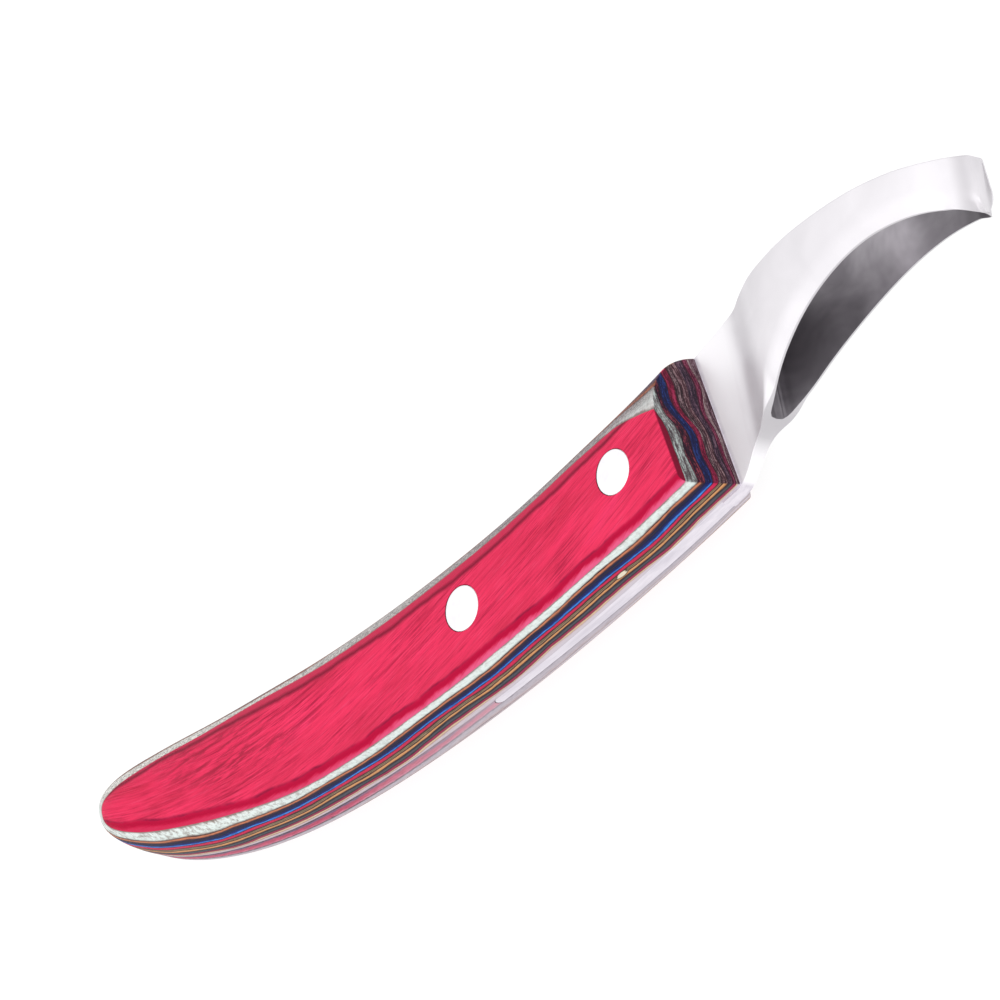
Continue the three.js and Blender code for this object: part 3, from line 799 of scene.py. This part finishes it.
# The loop's inside gets darker steel: painted shade inside the loop.
INNER_STEEL = steel_material("blade_steel_inside", (112, 108, 113), (160, 156, 161), 0.46, 1.0, inside=True)
RIVET_METAL = rivet_material()

# ---- Handle ---------------------------------------------------------------------------------


def constant(level):
    return lambda x, y: np.full_like(x, level)


def wavy(level, seed):
    return lambda x, y: boundary_z(level, seed, x, y)


def edge_gaps(points):
    """For each point, how far it is from the handle's widest lower and upper outline."""
    x, y = points[:, 0], points[:, 1]
    along = np.clip((TAPER_X - x) / (TAPER_X - REAR_X), 0, 1)
    low = y - (spine_y(x) - half_height(x) * (1 - along**ROUNDNESS_LOWER) ** (1 / ROUNDNESS_LOWER))
    high = spine_y(x) + half_height(x) * (1 - along**ROUNDNESS_UPPER) ** (1 / ROUNDNESS_UPPER) - y
    rounding = quarter_ellipse(LOWER_REAR, NEAR_DEPTH - NEAR_FACE[1], NEAR_DEPTH)
    low = low - rounding * smoothstep(-x, *LOWER_REAR_AT)
    return np.stack([low * 0.01, high * 0.01], axis=-1)


def make_ply(side, name, low_at, high_at, is_face):
    """A ply between two boundaries. A face ply's rows crowd towards its rounded outer edge."""
    if is_face:
        levels = np.sin(np.linspace(0, np.pi / 2, 12))
        levels = levels if side == "near" else 1 - levels[::-1]
    else:
        levels = np.linspace(0, 1, 4)
    points, faces, uvs = slab(low_at, high_at, list(levels))
    if is_face:
        uvs = edge_gaps(points)
    elif side == "far":
        uvs[:, 1] = 1 - uvs[:, 1]
    material = PLY_MATERIALS.get(f"{side}_{name}", PLY_MATERIALS[name])
    return new_object(f"{side}_{name}", points, faces, material, uvs)


def cutter_cylinder(centre, radius, low, high):
    angles = np.linspace(0, 2 * np.pi, AROUND, endpoint=False)
    ring = np.stack([centre[0] + radius * np.cos(angles), centre[1] + radius * np.sin(angles)], -1)
    points = [(*p, low) for p in ring] + [(*p, high) for p in ring]
    faces = [[i, (i + 1) % AROUND, AROUND + (i + 1) % AROUND, AROUND + i] for i in range(AROUND)]
    faces += [list(range(AROUND))[::-1], list(range(AROUND, 2 * AROUND))]
    return new_object("cutter", points, faces, RIVET_METAL)


def cut_rivet_seats(obj, side):
    """Lets the rivet heads into a face ply."""
    low, high = (TOP_Z - HEAD_THICKNESS, TOP_Z + 2) if side == "near" else (-2, HEAD_THICKNESS)
    for centre in RIVETS.values():
        boolean(obj, cutter_cylinder(centre, HEAD_RADIUS + SEAT_GAP, low, high), "DIFFERENCE")


def make_half(side, veneers, face, level, inner, direction, first_seed):
    """One half of the handle: its plies from the tang at height level outwards."""
    for i, (name, thickness) in enumerate([*veneers, face]):
        is_face = name == face[0]
        level += direction * thickness
        outer = constant(level) if is_face else wavy(level, first_seed + i)
        low, high = (inner, outer) if direction > 0 else (outer, inner)
        obj = tidy_mesh(make_ply(side, name, low, high, is_face))
        if is_face:
            cut_rivet_seats(obj, side)
        finish_piece(obj, f"{name}_ply", f"{side}_{name}_ply")
        inner = outer


def make_handle():
    make_half("near", VENEERS, NEAR_FACE, TANG_Z1, constant(TANG_Z1), 1, 20)
    make_half("far", VENEERS[:FAR_VENEERS], FAR_FACE, TANG_Z0, tang_far_side, -1, 70)
    finish_piece(tidy_mesh(core_piece()), "core_ply", "core_crimson_ply")


def core_piece():
    """The ply between the two halves, behind the tang's rear end."""
    points, faces, uvs = slab(tang_far_side, constant(TANG_Z1), [0, 0.33, 0.67, 1])
    obj = new_object("core", points, faces, PLY_MATERIALS["core"], uvs)
    return boolean(obj, tang_room(TANG_REAR_X - 0.15), "DIFFERENCE")


def prism(name, outline, low, high):
    """A closed prism between two heights y over an outline of (x, z) points."""
    k = len(outline)
    points = [(x, low, z) for x, z in outline] + [(x, high, z) for x, z in outline]
    faces = [[i, (i + 1) % k, k + (i + 1) % k, k + i] for i in range(k)]
    faces += [list(range(k))[::-1], list(range(k, 2 * k))]
    return tidy_mesh(new_object(name, points, faces, STEEL), merge=0.0005)


def tang_room(rear_x):
    """The space in front of the tang's rear end, which is rounded over its thickness."""
    low = float(tang_far_z(TANG_REAR_X))
    radius = (TANG_Z1 - low) / 2
    outline = [(200, -10), (200, 40), (rear_x + radius, 40)]
    for a in np.linspace(math.pi / 2, 3 * math.pi / 2, 13):
        outline.append((rear_x + radius + radius * math.cos(a), low + radius + radius * math.sin(a)))
    outline.append((rear_x + radius, -10))
    return prism("tang_room", outline, -60, 60)


# ---- Blade ----------------------------------------------------------------------------------


def rounded_polygon(corners, radii, steps=7):
    """Corner points with each corner replaced by a small quadratic arc."""
    corners = np.array(corners, float)
    points = []
    for i, corner in enumerate(corners):
        before = corners[i - 1] - corner
        after = corners[(i + 1) % len(corners)] - corner
        reach = min(radii[i], 0.45 * np.linalg.norm(before), 0.45 * np.linalg.norm(after))
        a = corner + before / np.linalg.norm(before) * reach
        b = corner + after / np.linalg.norm(after) * reach
        for t in np.linspace(0, 1, steps + 1):
            points.append((1 - t) ** 2 * a + 2 * t * (1 - t) * corner + t**2 * b)
    return np.array(points)


def blade_section(x, lines):
    """The bar's section at x, (y, z) from the middle plane: square at the back, bevelled below."""
    lower, upper, outer, inner = (line(x) for line in lines)
    grown = smoothstep(x, *BEVEL_X)
    rim = outer + (inner + RIM - outer) * grown
    width = BEVEL_WIDTH[0] + (BEVEL_WIDTH[1] - BEVEL_WIDTH[0]) * grown
    rim = min(rim, outer - 0.02)
    corners = [(lower, rim), (lower + width, outer), (upper, outer),
               (upper, -outer), (lower + width, -outer), (lower, -rim)]
    radii = [EDGE_RADIUS, BEVEL_RADIUS, BACK_RADIUS, BACK_RADIUS, BEVEL_RADIUS, EDGE_RADIUS]
    return rounded_polygon(corners, radii)


def blade_rings(lines):
    """The blade's sections from inside the handle to the tip, as rings of drawing coordinates."""
    rear, neck, tip = BLADE_X
    rings = []
    for x in np.concatenate([np.linspace(rear, neck, 60), np.linspace(neck + 0.4, tip, 90)]):
        ring = blade_section(x, lines)
        rings.append(np.column_stack([np.full(len(ring), x), ring[:, 0], ring[:, 1] + MID_Z]))
    last = rings[-1]
    middle = last.mean(axis=0)
    for shrink, ahead in TIP_RINGS:
        ring = middle + (last - middle) * np.array([1, 1 - shrink * 0.06, 1 - shrink])
        ring[:, 0] = last[0, 0] + ahead
        rings.append(ring)
    grid = np.array(rings)
    nose = np.clip((grid[..., 0] - NOSE_X) / NOSE_LENGTH, 0, 1)
    grid[..., 0] -= nose * NOSE_CURVE * (grid[..., 1] - NOSE_MIDDLE_Y) ** 2
    return grid


def loop_opening(half_width):
    """The space inside the loop, with faces in the inner steel."""
    first, last = LOOP_INNER[0][0], LOOP_INNER[-1][0]
    xs = last - (last - first) * (1 + np.cos(np.linspace(0, np.pi, 160))) / 2
    half = half_width(xs)
    outline = [(x, MID_Z + h) for x, h in zip(xs, half)]
    outline += [(x, MID_Z - h) for x, h in zip(xs[::-1][1:-1], half[::-1][1:-1])]
    opening = prism("slot", outline, *OPENING_Y)
    opening.data.materials.append(INNER_STEEL)
    for polygon in opening.data.polygons:
        polygon.material_index = 1
    return opening


def make_tang():
    points, faces, uvs = slab(tang_far_side, constant(TANG_Z1), [0, 0.08, 0.5, 0.92, 1])
    tang = tidy_mesh(new_object("tang", points, faces, STEEL, uvs))
    return boolean(tang, tang_room(TANG_REAR_X), "INTERSECT")


def make_blade():
    """The blade: neck and loop as one loft, less the loop's opening, joined to the tang."""
    lines = [curve(BLADE_LOWER), curve(BLADE_UPPER), curve(LOOP_OUTER), curve(LOOP_INNER)]
    grid = blade_rings(lines)
    n, m = grid.shape[:2]
    faces = [[i * m + j, (i + 1) * m + j, (i + 1) * m + (j + 1) % m, i * m + (j + 1) % m]
             for i in range(n - 1) for j in range(m)]
    faces += [list(range(m)), [(n - 1) * m + j for j in range(m)][::-1]]
    blade = new_object("loop_blade", grid.reshape(-1, 3), faces, STEEL)
    tidy_mesh(blade, merge=0.0005, angle=30)
    blade.data.materials.append(INNER_STEEL)
    boolean(blade, loop_opening(lines[-1]), "DIFFERENCE")
    tang = make_tang()
    bpy.ops.object.select_all(action="DESELECT")
    for obj in (tang, blade):
        obj.select_set(True)
    bpy.context.view_layer.objects.active = blade
    bpy.ops.object.join()
    tidy_mesh(blade, merge=0.0005, angle=30)
    finish_piece(blade, "blade_steel", "blade")


# ---- Rivets ---------------------------------------------------------------------------------


def lathe(name, centre, profile):
    """A closed turned piece from (radius, z) points that start and end on the axis."""
    points, faces = [], []
    for r, z in profile:
        for i in range(AROUND):
            a = 2 * np.pi * i / AROUND
            points.append((centre[0] + r * math.cos(a), centre[1] + r * math.sin(a), z))
    for row in range(0, (len(profile) - 1) * AROUND, AROUND):
        for i in range(AROUND):
            k = (i + 1) % AROUND
            faces.append([row + i, row + k, row + AROUND + k, row + AROUND + i])
    return tidy_mesh(new_object(name, points, faces, RIVET_METAL), merge=0.001, angle=40)


def head_profile(face_z, direction):
    """A flat head with a rounded rim, seen from outside, from the axis to its underside."""
    rim, rise = 0.14, 0.04
    points = [(0, face_z + direction * rise)]
    points += [(r, face_z + direction * rise * (1 - (r / HEAD_RADIUS) ** 2)) for r in (1.0, 2.0, 2.7)]
    for a in np.linspace(0, np.pi / 2, 6):
        points.append((HEAD_RADIUS - rim * (1 - math.sin(a)), face_z - direction * rim * (1 - math.cos(a))))
    points.append((HEAD_RADIUS, face_z - direction * (HEAD_THICKNESS - HEAD_RELIEF)))
    return points


def make_rivets():
    for name, centre in RIVETS.items():
        tube = head_profile(TOP_Z, 1)
        under = TOP_Z - HEAD_THICKNESS + HEAD_RELIEF
        bore = PIN_RADIUS + PIN_GAP
        tube += [(TUBE_RADIUS, under), (TUBE_RADIUS, TUBE_END_Z), (bore, TUBE_END_Z),
                 (bore, PIN_END_Z + 1), (0, PIN_END_Z + 1)]
        obj = lathe(f"{name}_rivet_tube_half", centre, tube)
        finish_piece(obj, "rivet_metal", f"{name}_rivet_tube")
        pin = head_profile(0.0, -1)
        pin += [(PIN_RADIUS, HEAD_THICKNESS - HEAD_RELIEF), (PIN_RADIUS, PIN_END_Z - 0.3),
                (PIN_RADIUS - 0.3, PIN_END_Z), (0, PIN_END_Z)]
        obj = lathe(f"{name}_rivet_pin_half", centre, pin)
        finish_piece(obj, "rivet_metal", f"{name}_rivet_pin")


make_handle()
make_blade()
make_rivets()

# ---- Stage, light and camera ----------------------------------------------------------------


def make_floor():
    half, drop = 1.6, 0.0004
    points = np.array([(-half, -half, 0), (half, -half, 0), (half, half, 0), (-half, half, 0)]) / MM
    obj = new_object("floor", points - ORIGIN / MM, [[0, 1, 2, 3]], floor_material())
    obj.location.z = -drop


def area_light(name, position, target, size, power):
    """A round soft light, facing its target."""
    light = bpy.data.lights.new(name, "AREA")
    light.shape = "DISK"
    light.size = size
    light.energy = power
    obj = bpy.data.objects.new(name, light)
    obj.location = position
    obj.rotation_euler = (Vector(target) - Vector(position)).to_track_quat("-Z", "Y").to_euler()
    bpy.context.scene.collection.objects.link(obj)


def make_world():
    """A white surround, brightest overhead and in front of the knife, dimmer behind its back."""
    world = bpy.data.worlds.new("studio")
    world.use_nodes = True
    nodes, links = world.node_tree.nodes, world.node_tree.links
    place = nodes.new("ShaderNodeTexCoord")
    towards = nodes.new("ShaderNodeVectorMath")
    towards.operation = "DOT_PRODUCT"
    towards.inputs[1].default_value = (0.35, -0.6, 0.72)
    level = nodes.new("ShaderNodeMapRange")
    level.interpolation_type = "SMOOTHSTEP"
    links.new(place.outputs["Generated"], towards.inputs[0])
    links.new(towards.outputs["Value"], level.inputs[0])
    for socket, value in enumerate((-0.6, 0.5, 0.6, 1.15), 1):
        level.inputs[socket].default_value = value
    background = nodes["Background"]
    background.inputs[0].default_value = (1.0, 1.0, 1.0, 1.0)
    links.new(level.outputs[0], background.inputs[1])
    bpy.context.scene.world = world


# The camera looks along TO_CAMERA from far away, with the picture's right and up directions.
TO_CAMERA = Vector((0.607, -0.433, 0.666)).normalized()
PICTURE_RIGHT = Vector((0.659, -0.194, -0.727)).normalized()
PICTURE_WIDTH = 0.140
AIM_RIGHT, AIM_UP = 0.00538, 0.01515
DISTANCE = 6.2


def make_camera():
    up = TO_CAMERA.cross(PICTURE_RIGHT).normalized()
    right = up.cross(TO_CAMERA).normalized()
    aim = Vector((ORIGIN[0], ORIGIN[1], TOP_Z * MM)) + right * AIM_RIGHT + up * AIM_UP
    camera = bpy.data.cameras.new("camera")
    camera.sensor_width = 36.0
    camera.lens = 36.0 * DISTANCE / PICTURE_WIDTH
    camera.clip_start, camera.clip_end = 0.05, 20.0
    obj = bpy.data.objects.new("camera", camera)
    rotation = Matrix((right, up, TO_CAMERA)).transposed()
    obj.matrix_world = Matrix.Translation(aim + TO_CAMERA * DISTANCE) @ rotation.to_4x4()
    bpy.context.scene.collection.objects.link(obj)
    bpy.context.scene.camera = obj


make_floor()
make_world()
area_light("key", (0.1, -0.5, 1.5), (0, 0, 0), 1.6, 7.0)
make_camera()
bpy.context.scene.view_settings.view_transform = "Standard"
